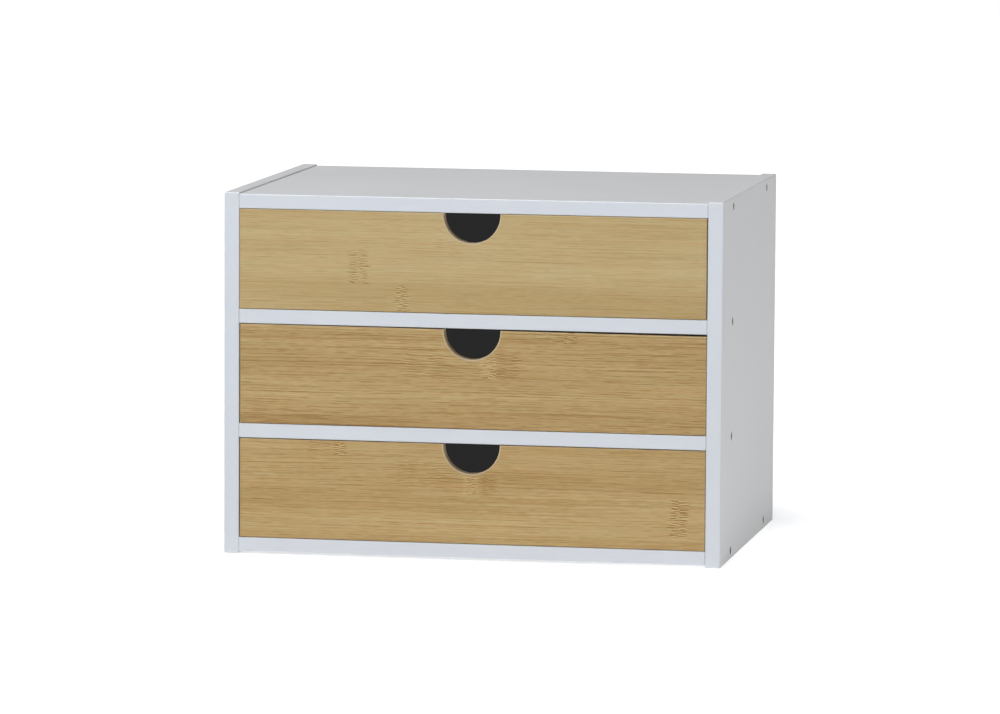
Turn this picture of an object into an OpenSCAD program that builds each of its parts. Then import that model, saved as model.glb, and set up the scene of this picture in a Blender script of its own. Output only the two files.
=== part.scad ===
// Desktop case with three mini drawers for crafts and small parts.
//
// A white case of two side panels, a top, a bottom, two shelves and a thin back
// holds three drawers. Each drawer is a box of thin boards behind a bamboo front
// with a half-round finger notch, and slides on the board below it.
//
// Millimetres. The origin is on the table, under the middle of the case.
// +X is the user's right, -Y is the front and +Z is up.

/* [Case] */
// Width of the case over both side panels
case_width = 350; // [240:1:600]
// Depth of the case from front to back
case_depth = 255; // [180:1:400]
// Thickness of each side panel with its paint
side_thickness = 10.6; // [8:0.1:18]
// Thickness of the top, the bottom and the shelves
board_thickness = 10; // [8:0.1:18]
// Clear height of each drawer's opening
opening_height = 70; // [60:1:140]
// Height of the bottom board above the table, on the side panels' lower edges
foot_height = 1.5; // [0.5:0.1:10]
// How far the side panels rise above the top board
rim_height = 1; // [0.5:0.1:10]
// Width of the flat that eases the edges of the case's boards
board_ease = 0.5; // [0.2:0.1:1]

/* [Back panel] */
// Thickness of the back panel
back_thickness = 3; // [2:0.1:6]
// Distance from the back panel to the rear edges of the case
back_inset = 6; // [3:0.5:20]
// Depth of the grooves that hold the back panel
back_groove_depth = 4; // [2:0.5:6]

/* [Fasteners of the case] */
// Distance of the screws and dowels from the front and rear edges of the case
fastener_setback = 47.5; // [20:0.5:80]
// Diameter of a screw's shank
screw_diameter = 3; // [2:0.1:4]
// Length of a screw, with its head
screw_length = 30; // [20:1:45]
// Diameter of a screw's countersunk head
screw_head_diameter = 6; // [5:0.1:8]
// How far a screw's head lies below the face of the side panel
screw_recess = 0.4; // [0.1:0.1:1.5]
// Diameter of a wooden dowel in a shelf
dowel_diameter = 6; // [4:0.1:7]
// Length of a wooden dowel in a shelf
dowel_length = 24; // [16:1:40]
// Wood left in the side panel behind a dowel
dowel_skin = 3; // [2:0.1:5]

/* [Drawer fronts] */
// Thickness of a bamboo front
front_thickness = 10; // [8:0.1:18]
// How far a closed front stands behind the front edges of the case
front_setback = 0; // [0:0.1:5]
// Gap between each end of a front and the side panel
front_end_gap = 0.45; // [0.3:0.05:2]
// Gap between a front and the board below it
front_gap_below = 0.3; // [0.2:0.05:2]
// Gap above the front of the bottom drawer
bottom_front_gap_above = 0.5; // [0.2:0.05:3]
// Gap above the left end of the middle drawer's front
middle_front_gap_above = 0.4; // [0.2:0.05:3]
// How much lower the middle front's upper edge is at its right end
middle_front_taper = 1.1; // [0:0.1:3]
// Gap above the front of the top drawer
top_front_gap_above = 0.25; // [0.2:0.05:3]
// Radius of the half-round finger notch
notch_radius = 20; // [12:0.5:30]
// How far the notch's centre lies below the upper edge of its front
notch_drop = 0.7; // [0.1:0.1:5]
// Width of the flat that eases the outer edges of a front
front_ease = 0.5; // [0.2:0.1:0.7]
// Width of the flat that eases the edges of the finger notch
notch_ease = 0.8; // [0.8:0.1:2]

/* [Drawer boxes] */
// Thickness of a drawer's sides and back
wall_thickness = 8; // [6:0.1:12]
// Thickness of a drawer's bottom
floor_thickness = 3; // [2:0.1:6]
// Height of a drawer's bottom above the lower edges of its sides
floor_lift = 6; // [4:0.5:12]
// Depth of the grooves that hold a drawer's bottom
floor_groove_depth = 4; // [2:0.5:5]
// How far the box stands in from each end of its front
box_inset = 1; // [0.3:0.1:4]
// Clear space between a box and the board above it
box_headroom = 12; // [4:0.5:20]
// Gap between a closed drawer and the back panel
stop_gap = 1; // [0.5:0.1:10]
// Width of the flat that eases the edges of a drawer's boards
wall_ease = 0.4; // [0.2:0.1:1]
// How far the bottom drawer stands to the right, as a share of its end gap
bottom_drawer_lean = 0.5; // [-0.9:0.1:0.9]
// How far the middle drawer stands to the right, as a share of its end gap
middle_drawer_lean = 0.5; // [-0.9:0.1:0.9]
// How far the top drawer stands to the right, as a share of its end gap
top_drawer_lean = -0.5; // [-0.9:0.1:0.9]

/* [Fasteners of the drawers] */
// Diameter of a wooden pin between a front and a side
pin_diameter = 4; // [3:0.1:5]
// Length of a wooden pin
pin_length = 20; // [14:1:40]
// Wood left in the front before a pin
pin_skin = 4; // [3:0.1:6]
// Height of the lower pin over the drawer's bottom, and of the upper pin under the side's edge
pin_margin = 9; // [5:0.5:12]
// Diameter of a brad's shank
brad_diameter = 1.2; // [1:0.1:2]
// Length of a brad, with its head
brad_length = 22; // [16:1:35]
// Diameter of a brad's head
brad_head_diameter = 2.2; // [2:0.1:4]
// Thickness of a brad's head
brad_head_thickness = 0.6; // [0.4:0.1:1]

/* [Fits] */
// Clearance round a screw, dowel, pin or brad in its hole
hole_clearance = 0.05; // [0.02:0.01:0.2]
// Spare depth of a hole past the end of what it holds
hole_spare_depth = 1; // [0.3:0.1:2]
// Clearance of a thin panel between the walls of its groove
groove_clearance = 0.2; // [0.1:0.05:0.5]
// Spare depth of a groove past the edge of its panel
groove_spare_depth = 0.5; // [0.2:0.1:1]

/* [Hidden] */

$fn = 48;

// The drawers, counted from the table up
BOTTOM = 0;
MIDDLE = 1;
TOP = 2;
drawer_count = 3;

// Finishes
white_paint = [0.87, 0.88, 0.91];
bamboo = [0.76, 0.64, 0.42];
black_board = [0.14, 0.14, 0.15];
white_board = [0.80, 0.81, 0.83];
zinc = [0.66, 0.66, 0.68];
beech = [0.82, 0.68, 0.48];

// Overshoot of a cut past the face that it opens
cut = 1;

// Planes of the case
front_y = -case_depth / 2;
rear_y = case_depth / 2;
inner_half_width = case_width / 2 - side_thickness;
opening_pitch = opening_height + board_thickness;
case_height = foot_height + board_thickness + drawer_count * opening_pitch + rim_height;
back_panel_y = rear_y - back_inset - back_thickness;
front_fastener_y = front_y + fastener_setback;
rear_fastener_y = rear_y - fastener_setback;
screw_head_height = (screw_head_diameter - screw_diameter) / 2;

// Planes of a drawer, in its own frame: x from the left end of its front,
// y from the front's face and z from the board that the drawer slides on
front_width = 2 * (inner_half_width - front_end_gap);
box_width = front_width - 2 * box_inset;
box_height = opening_height - box_headroom;
drawer_depth = back_panel_y - stop_gap - front_y - front_setback;
side_length = drawer_depth - front_thickness;
back_width = box_width - 2 * wall_thickness;
floor_groove_height = floor_thickness + groove_clearance;
floor_reach = floor_groove_depth - groove_spare_depth;
pin_heights = [floor_lift + floor_groove_height + pin_margin, box_height - pin_margin];
front_gaps_above = [bottom_front_gap_above, middle_front_gap_above, top_front_gap_above];
front_tapers = [0, middle_front_taper, 0];
drawer_leans = [bottom_drawer_lean, middle_drawer_lean, top_drawer_lean];

// Underside of board k: 0 is the bottom, then the shelves, and 3 is the top
function board_z(k) = foot_height + k * opening_pitch;

// Height of the board that drawer i slides on
function slide_z(i) = board_z(i) + board_thickness;

// Height of front i at its left end, and of its notch's centre
function front_height(i) = opening_height - front_gap_below - front_gaps_above[i];
function notch_height(i) = front_height(i) - front_tapers[i] / 2 - notch_drop;

// ---------------------------------------------------------------- shared shapes

// Rectangle with its corners planed off
module eased_rectangle(a, b, ease) {
    polygon([
        [ease, 0], [a - ease, 0], [a, ease], [a, b - ease],
        [a - ease, b], [ease, b], [0, b - ease], [0, ease]
    ]);
}

// Board from the origin to size, with all its edges eased
module eased_board(size, ease) {
    intersection() {
        linear_extrude(height = size[2]) eased_rectangle(size[0], size[1], ease);
        translate([0, size[1], 0]) rotate([90, 0, 0])
            linear_extrude(height = size[1]) eased_rectangle(size[0], size[2], ease);
        rotate([90, 0, 90])
            linear_extrude(height = size[0]) eased_rectangle(size[1], size[2], ease);
    }
}

// Bar along +X that planes a flat along an edge at y = z = 0. The wood lies towards
// +Y +Z at quarter 0, and each further quarter turns it 90 degrees about +X
module edge_plane(length, ease, quarter) {
    rotate([45 + 90 * quarter, 0, 0]) translate([-cut, -3 * ease, -2 * ease])
        cube([length + 2 * cut, ease * (3 + 1 / sqrt(2)), 4 * ease]);
}

// Round wooden peg along +Z with chamfered ends
module peg(diameter, length) {
    chamfer = diameter / 8;
    rotate_extrude() polygon([
        [0, 0], [diameter / 2 - chamfer, 0], [diameter / 2, chamfer],
        [diameter / 2, length - chamfer], [diameter / 2 - chamfer, length], [0, length]
    ]);
}

// Countersunk screw along +Z: the top of its head at z = 0, its point up
module screw(turn) {
    point_length = screw_diameter;
    recess_width = screw_head_diameter * 0.15;
    recess_length = screw_head_diameter * 0.55;
    recess_depth = screw_head_height * 0.75;
    difference() {
        rotate_extrude() polygon([
            [0, 0], [screw_head_diameter / 2, 0], [screw_diameter / 2, screw_head_height],
            [screw_diameter / 2, screw_length - point_length],
            [screw_diameter / 16, screw_length], [0, screw_length]
        ]);
        for (arm = [0, 90]) rotate([0, 0, turn + arm])
            translate([-recess_length / 2, -recess_width / 2, -cut])
                cube([recess_length, recess_width, recess_depth + cut]);
    }
}

// The hole for a screw, from the face of the side panel at z = 0 inwards
module screw_hole() {
    shank_radius = screw_diameter / 2 + hole_clearance;
    head_radius = screw_head_diameter / 2;
    seat_depth = screw_recess + head_radius - shank_radius;
    rotate_extrude() polygon([
        [0, -cut], [head_radius, -cut], [head_radius, screw_recess],
        [shank_radius, seat_depth],
        [shank_radius, screw_recess + screw_length + hole_spare_depth],
        [0, screw_recess + screw_length + hole_spare_depth]
    ]);
}

// Brad along +Z, with the top of its head at z = 0
module brad() {
    cylinder(d = brad_head_diameter, h = brad_head_thickness);
    cylinder(d = brad_diameter, h = brad_length);
}

// The hole for a brad, from the face of the drawer's side at z = 0 inwards
module brad_hole() {
    translate([0, 0, -cut])
        cylinder(d = brad_head_diameter + 2 * hole_clearance, h = brad_head_thickness + cut);
    cylinder(d = brad_diameter + 2 * hole_clearance, h = brad_length + hole_spare_depth);
}

// ---------------------------------------------------------------- case

// Put children on each screw's axis at the left side panel's outer face, pointing inwards
module at_left_screws() {
    for (k = [0 : drawer_count])
        for (y = (k == 0 || k == drawer_count) ? [front_fastener_y, rear_fastener_y] : [front_fastener_y])
            translate([-case_width / 2, y, board_z(k) + board_thickness / 2])
                rotate([0, 90, 0]) children();
}

// Put children on each dowel's axis at the left side panel's inner face, pointing inwards
module at_left_dowels() {
    for (k = [1 : drawer_count - 1])
        translate([-inner_half_width, rear_fastener_y, board_z(k) + board_thickness / 2])
            rotate([0, 90, 0]) children();
}

// A dowel, with z = 0 where it crosses from the side panel into the shelf
module dowel(clearance, spare) {
    depth_in_side = side_thickness - dowel_skin;
    translate([0, 0, -depth_in_side - spare])
        if (clearance > 0)
            cylinder(d = dowel_diameter + 2 * clearance, h = dowel_length + 2 * spare);
        else
            peg(dowel_diameter, dowel_length);
}

// All holes for the screws and dowels, at both sides
module case_holes() {
    for (side = [0, 1]) mirror([side, 0, 0]) {
        at_left_screws() screw_hole();
        at_left_dowels() dowel(hole_clearance, hole_spare_depth);
    }
}

// The space that the back panel's grooves take, right round the panel
module back_groove() {
    width = 2 * (inner_half_width + back_groove_depth);
    bottom = board_z(0) + board_thickness - back_groove_depth;
    top = board_z(drawer_count) + back_groove_depth;
    translate([-width / 2, back_panel_y - groove_clearance, bottom])
        cube([width, back_thickness + groove_clearance, top - bottom]);
}

// The left side panel, and the right one as its mirror image
module side_panel(side) {
    color(white_paint) difference() {
        mirror([side, 0, 0]) translate([-case_width / 2, front_y, 0])
            eased_board([side_thickness, case_depth, case_height], board_ease);
        case_holes();
        back_groove();
    }
}

// Board k between the side panels, from the front edge to end_y
module case_board(k, end_y) {
    color(white_paint) difference() {
        translate([-inner_half_width, front_y, board_z(k)])
            eased_board([2 * inner_half_width, end_y - front_y, board_thickness], board_ease);
        case_holes();
        back_groove();
    }
}

module top_panel() case_board(drawer_count, rear_y);

module bottom_panel() case_board(0, rear_y);

// A shelf ends where the groove for the back panel begins
module shelf(k) case_board(k, back_panel_y - groove_clearance);

// The back panel stands on the floor of the bottom board's groove
module back_panel() {
    reach = back_groove_depth - groove_spare_depth;
    width = 2 * (inner_half_width + reach);
    bottom = board_z(0) + board_thickness - back_groove_depth;
    top = board_z(drawer_count) + reach;
    color(white_board) translate([-width / 2, back_panel_y, bottom])
        cube([width, back_thickness, top - bottom]);
}

// The six screws of one side panel, their cross slots turned each its own way
module side_screws(side) {
    color(zinc) mirror([side, 0, 0])
        at_left_screws() translate([0, 0, screw_recess]) screw(25 + 50 * side);
}

module shelf_dowels() {
    color(beech) for (side = [0, 1]) mirror([side, 0, 0])
        at_left_dowels() dowel(0, 0);
}

// ---------------------------------------------------------------- drawers

// Put children in the frame of closed drawer i
module in_drawer(i) {
    translate([
        -front_width / 2 + drawer_leans[i] * front_end_gap,
        front_y + front_setback,
        slide_z(i)
    ]) children();
}

// Put children on each wooden pin's axis at the back of the front, pointing backwards
module at_pins() {
    for (x = [box_inset + wall_thickness / 2, front_width - box_inset - wall_thickness / 2])
        for (z = pin_heights)
            translate([x, front_thickness, z]) rotate([-90, 0, 0]) children();
}

// A wooden pin, with z = 0 where it crosses from the front into the side
module pin(clearance, spare) {
    translate([0, 0, pin_skin - front_thickness - spare])
        if (clearance > 0)
            cylinder(d = pin_diameter + 2 * clearance, h = pin_length + 2 * spare);
        else
            peg(pin_diameter, pin_length);
}

// Put children on each brad's axis at the outer face of the drawer's side, pointing inwards
module at_brads() {
    y = drawer_depth - wall_thickness / 2;
    for (z = pin_heights) {
        translate([box_inset, y, z]) rotate([0, 90, 0]) children();
        translate([front_width - box_inset, y, z]) rotate([0, -90, 0]) children();
    }
}

// The space that the grooves for the drawer's bottom take
module floor_groove() {
    margin = box_inset + wall_thickness - floor_groove_depth;
    front_end = front_thickness - floor_groove_depth;
    rear_end = drawer_depth - wall_thickness + floor_groove_depth;
    translate([margin, front_end, floor_lift])
        cube([front_width - 2 * margin, rear_end - front_end, floor_groove_height]);
}

// Outline of front i, seen from the front, with its upper edge tapered
module front_outline(i) {
    polygon([
        [0, 0], [front_width, 0],
        [front_width, front_height(i) - front_tapers[i]], [0, front_height(i)]
    ]);
}

// Flats along the edges of front i, at its face and at its back
module front_edge_planes(i) {
    slope = atan(front_tapers[i] / front_width);
    for (face = [0, 1]) translate([0, face * front_thickness, 0]) {
        // The quarters of an edge whose wood lies above or to the left, and below or to the right
        start_quarter = face == 0 ? 0 : 1;
        end_quarter = face == 0 ? 3 : 2;
        edge_plane(front_width, front_ease, start_quarter);
        translate([0, 0, front_height(i)]) rotate([0, slope, 0])
            edge_plane(front_width, front_ease, end_quarter);
        rotate([0, -90, 0])
            edge_plane(front_height(i), front_ease, end_quarter);
        translate([front_width, 0, 0]) rotate([0, -90, 0])
            edge_plane(front_height(i), front_ease, start_quarter);
    }
}

// The finger notch, turned about +Y, with an eased edge at both faces of the front.
// The seam of the turned faces points up, out of the wood
module notch() {
    mouth_radius = notch_radius + notch_ease + cut;
    rotate([-90, -90, 0]) rotate_extrude() polygon([
        [0, -cut], [mouth_radius, -cut], [notch_radius, notch_ease],
        [notch_radius, front_thickness - notch_ease],
        [mouth_radius, front_thickness + cut], [0, front_thickness + cut]
    ]);
}

// Bamboo front, just clear of the board that the drawer slides on
module drawer_front(i) {
    color(bamboo) in_drawer(i) difference() {
        translate([0, 0, front_gap_below]) difference() {
            translate([0, front_thickness, 0]) rotate([90, 0, 0])
                linear_extrude(height = front_thickness) front_outline(i);
            front_edge_planes(i);
            translate([front_width / 2, 0, notch_height(i)]) notch();
        }
        floor_groove();
        at_pins() pin(hole_clearance, hole_spare_depth);
    }
}

// Side of the box: the left one at side = 0 and the right one at side = 1
module drawer_side(i, side) {
    x = side == 0 ? box_inset : front_width - box_inset - wall_thickness;
    color(black_board) in_drawer(i) difference() {
        translate([x, front_thickness, 0])
            eased_board([wall_thickness, side_length, box_height], wall_ease);
        floor_groove();
        at_pins() pin(hole_clearance, hole_spare_depth);
        at_brads() brad_hole();
    }
}

// Back of the box, between its sides and level with them
module drawer_back(i) {
    color(black_board) in_drawer(i) difference() {
        translate([box_inset + wall_thickness, drawer_depth - wall_thickness, 0])
            eased_board([back_width, wall_thickness, box_height], wall_ease);
        floor_groove();
        at_brads() brad_hole();
    }
}

// Bottom of the box, lying on the lower walls of the grooves
module drawer_bottom(i) {
    margin = box_inset + wall_thickness - floor_reach;
    front_end = front_thickness - floor_reach;
    rear_end = drawer_depth - wall_thickness + floor_reach;
    color(black_board) in_drawer(i) translate([margin, front_end, floor_lift])
        cube([front_width - 2 * margin, rear_end - front_end, floor_thickness]);
}

module drawer_pins(i) {
    color(beech) in_drawer(i) at_pins() pin(0, 0);
}

module drawer_brads(i) {
    color(zinc) in_drawer(i) at_brads() brad();
}

// ---------------------------------------------------------------- the whole

side_panel(0);  // left_side_panel
side_panel(1);  // right_side_panel
top_panel();
bottom_panel();
shelf(2);  // upper_shelf
shelf(1);  // lower_shelf
back_panel();
side_screws(0);  // left_side_screws
side_screws(1);  // right_side_screws
shelf_dowels();

drawer_front(TOP);  // top_drawer_front
drawer_side(TOP, 0);  // top_drawer_left_side
drawer_side(TOP, 1);  // top_drawer_right_side
drawer_back(TOP);  // top_drawer_back
drawer_bottom(TOP);  // top_drawer_bottom
drawer_pins(TOP);  // top_drawer_pins
drawer_brads(TOP);  // top_drawer_brads

drawer_front(MIDDLE);  // middle_drawer_front
drawer_side(MIDDLE, 0);  // middle_drawer_left_side
drawer_side(MIDDLE, 1);  // middle_drawer_right_side
drawer_back(MIDDLE);  // middle_drawer_back
drawer_bottom(MIDDLE);  // middle_drawer_bottom
drawer_pins(MIDDLE);  // middle_drawer_pins
drawer_brads(MIDDLE);  // middle_drawer_brads

drawer_front(BOTTOM);  // bottom_drawer_front
drawer_side(BOTTOM, 0);  // bottom_drawer_left_side
drawer_side(BOTTOM, 1);  // bottom_drawer_right_side
drawer_back(BOTTOM);  // bottom_drawer_back
drawer_bottom(BOTTOM);  // bottom_drawer_bottom
drawer_pins(BOTTOM);  // bottom_drawer_pins
drawer_brads(BOTTOM);  // bottom_drawer_brads
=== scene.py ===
import math

import bmesh
import bpy
from mathutils import Euler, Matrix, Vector


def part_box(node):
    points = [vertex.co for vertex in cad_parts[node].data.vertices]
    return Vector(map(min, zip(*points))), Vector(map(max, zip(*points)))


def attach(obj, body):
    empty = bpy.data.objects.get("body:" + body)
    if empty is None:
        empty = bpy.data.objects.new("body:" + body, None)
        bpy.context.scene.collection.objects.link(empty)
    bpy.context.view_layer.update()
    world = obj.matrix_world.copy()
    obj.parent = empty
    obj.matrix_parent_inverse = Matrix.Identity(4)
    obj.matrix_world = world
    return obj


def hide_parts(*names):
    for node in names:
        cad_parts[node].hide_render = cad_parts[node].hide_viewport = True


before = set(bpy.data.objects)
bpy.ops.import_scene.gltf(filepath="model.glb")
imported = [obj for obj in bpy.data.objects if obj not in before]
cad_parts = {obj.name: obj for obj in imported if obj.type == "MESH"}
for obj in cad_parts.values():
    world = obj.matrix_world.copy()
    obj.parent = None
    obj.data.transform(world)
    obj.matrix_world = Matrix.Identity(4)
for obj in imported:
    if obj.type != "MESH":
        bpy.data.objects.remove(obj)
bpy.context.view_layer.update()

bl_info = {
    "name": "Desktop Mini Drawers",
    "version": (1, 0, 0),
    "blender": (4, 5, 0),
    "location": "View3D > Sidebar > Mini Drawers",
    "description": "Finishes, fasteners and studio for a case with three bamboo-fronted drawers",
    "category": "Object",
}

MM = 0.001

DRAWERS = ("top", "middle", "bottom")
PAINTED_BOARDS = (
    "left_side_panel", "right_side_panel", "top_panel",
    "bottom_panel", "upper_shelf", "lower_shelf",
)
BOX_BOARDS = ("left_side", "right_side", "back", "bottom")


# ---------------------------------------------------------------- the bamboo of each front
#
# Heights are in millimetres above the table, and places along a front are in millimetres to
# the right of the case's middle.

class Knuckle:
    """A place where the bamboo's stem had a joint: it crosses one strip."""

    def __init__(self, across, low, high, width, strength, shade=-0.08):
        self.across, self.low, self.high, self.width = across, low, high, width
        self.strength, self.shade = strength, shade


class Front:
    """What is particular to one front: where its strips join, their tones and its knuckles."""

    def __init__(self, name, seed, tint, joints, tones, contrast, knuckles):
        self.name, self.seed, self.tint = name, seed, tint
        self.joints, self.tones = joints, tones
        self.contrast, self.knuckles = contrast, knuckles


FRONTS = (
    Front(
        "top", 11, (0.973, 0.992, 0.988), joints=(192, 216.5), tones=(0.10, 0.18, 0.16),
        contrast=0.57, knuckles=(
            Knuckle(-80, 191, 214, 12, 0.42),
            Knuckle(-49, 172, 190.5, 9, 0.75, 0.0),
            Knuckle(-17, 213, 232, 18, 0.22, 0.02),
        ),
    ),
    Front(
        "middle", 23, (0.925, 0.882, 0.780), joints=(98, 126, 151.5),
        tones=(0.07, 0.06, -0.05, -0.02), contrast=1.2, knuckles=(
            Knuckle(12, 127, 142, 10, 0.65, 0.17),
            Knuckle(25, 127, 145, 15, 0.40, -0.10),
            Knuckle(-34, 127, 147, 34, 0.40, 0.0),
            Knuckle(55, 153, 160.5, 20, 0.45, -0.03),
            Knuckle(68, 153, 160.5, 9, 0.9, -0.05),
        ),
    ),
    Front(
        "bottom", 37, (0.980, 0.955, 0.900), joints=(18, 47.5, 72), tones=(0.06, 0.07, 0.0, -0.04),
        contrast=0.95, knuckles=(
            Knuckle(-106, 72, 80.5, 18, 0.40, -0.03),
            Knuckle(-93, 71, 80.5, 9, 0.95),
            Knuckle(0, 46, 59, 9, 0.6, 0.15),
            Knuckle(12, 45, 60, 10, 0.4, -0.12),
            Knuckle(-36, 50, 70, 32, 0.32, 0.0),
            Knuckle(146, 21, 46.5, 11, 1.15),
        ),
    ),
)


# ---------------------------------------------------------------- nodes as expressions

# How many nodes lie side by side in the node editor
NODES_IN_A_ROW = 24


def find_socket(sockets, key):
    """The socket with this number, identifier or name."""
    if isinstance(key, int):
        return sockets[key]
    for socket in sockets:
        if socket.identifier == key:
            return socket
    return sockets[key]


class Value:
    """A socket that takes part in Python expressions: each operator adds its Math node."""

    def __init__(self, maker, socket):
        self.maker, self.socket = maker, socket

    def __add__(self, other):
        return self.maker.math("ADD", self, other)

    __radd__ = __add__

    def __sub__(self, other):
        return self.maker.math("SUBTRACT", self, other)

    def __rsub__(self, other):
        return self.maker.math("SUBTRACT", other, self)

    def __mul__(self, other):
        return self.maker.math("MULTIPLY", self, other)

    __rmul__ = __mul__

    def __truediv__(self, other):
        return self.maker.math("DIVIDE", self, other)

    def __gt__(self, other):
        return self.maker.math("GREATER_THAN", self, other)

    def __abs__(self):
        return self.maker.math("ABSOLUTE", self)

    def __floor__(self):
        return self.maker.math("FLOOR", self)


class Maker:
    """Adds nodes to a tree."""

    def __init__(self, tree):
        self.tree = tree

    def node(self, kind, settings=None, inputs=None, result=0):
        """A node of this kind: its settings are set first, then its sockets. Gives one output,
        or a tuple of them."""
        row, column = divmod(len(self.tree.nodes), NODES_IN_A_ROW)
        node = self.tree.nodes.new(kind)
        node.location = (190 * column, -240 * row)
        for name, setting in (settings or {}).items():
            if name == "stops":
                set_stops(node.color_ramp, setting)
            else:
                setattr(node, name, setting)
        for key, given in (inputs or {}).items():
            socket = find_socket(node.inputs, key)
            if isinstance(given, Value):
                self.tree.links.new(given.socket, socket)
            else:
                socket.default_value = given
        if isinstance(result, tuple):
            return tuple(Value(self, find_socket(node.outputs, r)) for r in result)
        return Value(self, find_socket(node.outputs, result)) if node.outputs else None

    def math(self, operation, *values):
        return self.node("ShaderNodeMath", {"operation": operation}, dict(enumerate(values)))

    def smooth(self, value, start, end):
        """0 below start, 1 above end, and a smooth step between them."""
        return self.node(
            "ShaderNodeMapRange", {"interpolation_type": "SMOOTHSTEP"},
            {"Value": value, "From Min": start, "From Max": end},
        )

    def window(self, value, start, end, soft):
        """1 between start and end, 0 outside them, with soft sides."""
        rise = self.smooth(value, start, start + soft)
        fall = self.smooth(value, end - soft, end)
        return rise * (1 - fall)

    def vector(self, x, y, z):
        return self.node("ShaderNodeCombineXYZ", inputs={"X": x, "Y": y, "Z": z})

    def noise(self, vector, detail=2.0, roughness=0.5):
        return self.node(
            "ShaderNodeTexNoise", {"noise_dimensions": "3D"},
            {"Vector": vector, "Scale": 1.0, "Detail": detail, "Roughness": roughness},
            "Fac",
        )

    def chance(self, value):
        """A number from 0 to 1 drawn by a whole number."""
        return self.node(
            "ShaderNodeTexWhiteNoise", {"noise_dimensions": "1D"}, {"W": value}, "Value"
        )

    def ramp(self, factor, stops):
        return self.node("ShaderNodeValToRGB", {"stops": stops}, {"Fac": factor}, "Color")

    def mix(self, factor, a, b, blend="MIX"):
        return self.node(
            "ShaderNodeMix", {"data_type": "RGBA", "blend_type": blend},
            {"Factor_Float": factor, "A_Color": a, "B_Color": b}, "Result_Color",
        )

    def bump(self, height, distance):
        """Normals of a surface whose height runs from 0 to distance, in metres."""
        return self.node(
            "ShaderNodeBump", inputs={"Strength": 1.0, "Distance": distance, "Height": height}
        )


def set_stops(ramp, stops):
    """Give a colour ramp these places and colours."""
    while len(ramp.elements) < len(stops):
        ramp.elements.new(0.5)
    for element, (place, colour) in zip(ramp.elements, stops):
        element.position = place
        element.color = opaque(colour)


def opaque(colour):
    return (*tuple(colour)[:3], 1.0)


def shaded(colour, share):
    """A colour made lighter or darker."""
    return opaque([min(1.0, c * share) for c in tuple(colour)[:3]])


def millimetres(maker):
    """Place on the piece, in millimetres in the case's frame."""
    place = maker.node("ShaderNodeTexCoord", result="Object")
    scaled = maker.node(
        "ShaderNodeVectorMath", {"operation": "SCALE"}, {0: place, "Scale": 1 / MM}
    )
    return maker.node("ShaderNodeSeparateXYZ", inputs={0: scaled}, result=("X", "Y", "Z"))


def new_material(name):
    material = bpy.data.materials.new(name)
    material.use_nodes = True
    material.node_tree.nodes.clear()
    return material, Maker(material.node_tree)


def close_material(maker, sockets):
    """Feed the surface's sockets: numbers are set on them, and what varies is linked."""
    surface = maker.node("ShaderNodeBsdfPrincipled", inputs=sockets)
    maker.node("ShaderNodeOutputMaterial", inputs={"Surface": surface})


def wear(node_name, material):
    """Give a piece its one material."""
    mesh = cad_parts[node_name].data
    mesh.materials.clear()
    mesh.materials.append(material)


# ---------------------------------------------------------------- finishes
#
# Each finish has its patterns' sizes first, in millimetres.

# Refraction of paint and of board facings
PAINT_IOR, FACING_IOR = 1.5, 1.48


def speckle(maker, place, sizes, detail, roughness=0.5):
    """Noise whose grains have this size, or these sizes along x, y and z, in millimetres."""
    if not isinstance(sizes, tuple):
        sizes = (sizes,) * 3
    scaled = [coordinate / size for coordinate, size in zip(place, sizes)]
    return maker.noise(maker.vector(*scaled), detail=detail, roughness=roughness)


def painted_board(settings):
    """Satin white paint on fibreboard: a faint roller stipple and a little unevenness."""
    stipple_size, roller_size, cloud_size = 1.1, 9, 70
    material, maker = new_material("satin_white_paint")
    place = millimetres(maker)
    stipple = speckle(maker, place, stipple_size, 2.0)
    roll = speckle(maker, place, roller_size, 1.0)
    clouds = speckle(maker, place, cloud_size, 3.0)
    colour = maker.ramp(clouds, (
        (0.3, shaded(settings.colour, 0.985)),
        (0.7, shaded(settings.colour, 1.01)),
    ))
    height = stipple * 0.7 + roll * 0.3
    close_material(maker, {
        "Base Color": colour,
        "Roughness": settings.roughness + 0.12 * (stipple - 0.5) + 0.08 * (clouds - 0.5),
        "Normal": maker.bump(height, settings.stipple),
        "IOR": PAINT_IOR,
    })
    return material


def thin_board(settings):
    """White-faced hardboard: a fine felted face."""
    felt_size, cloud_size, felt_height = 0.6, 40, 0.012
    material, maker = new_material("white_faced_hardboard")
    place = millimetres(maker)
    felt = speckle(maker, place, felt_size, 3.0, roughness=0.6)
    clouds = speckle(maker, place, cloud_size, 3.0)
    colour = maker.ramp(clouds * 0.7 + felt * 0.3, (
        (0.3, shaded(settings.back_colour, 0.96)),
        (0.7, shaded(settings.back_colour, 1.02)),
    ))
    close_material(maker, {
        "Base Color": colour,
        "Roughness": 0.55 + 0.2 * (felt - 0.5),
        "Normal": maker.bump(felt, felt_height * MM),
        "IOR": PAINT_IOR,
    })
    return material


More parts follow.
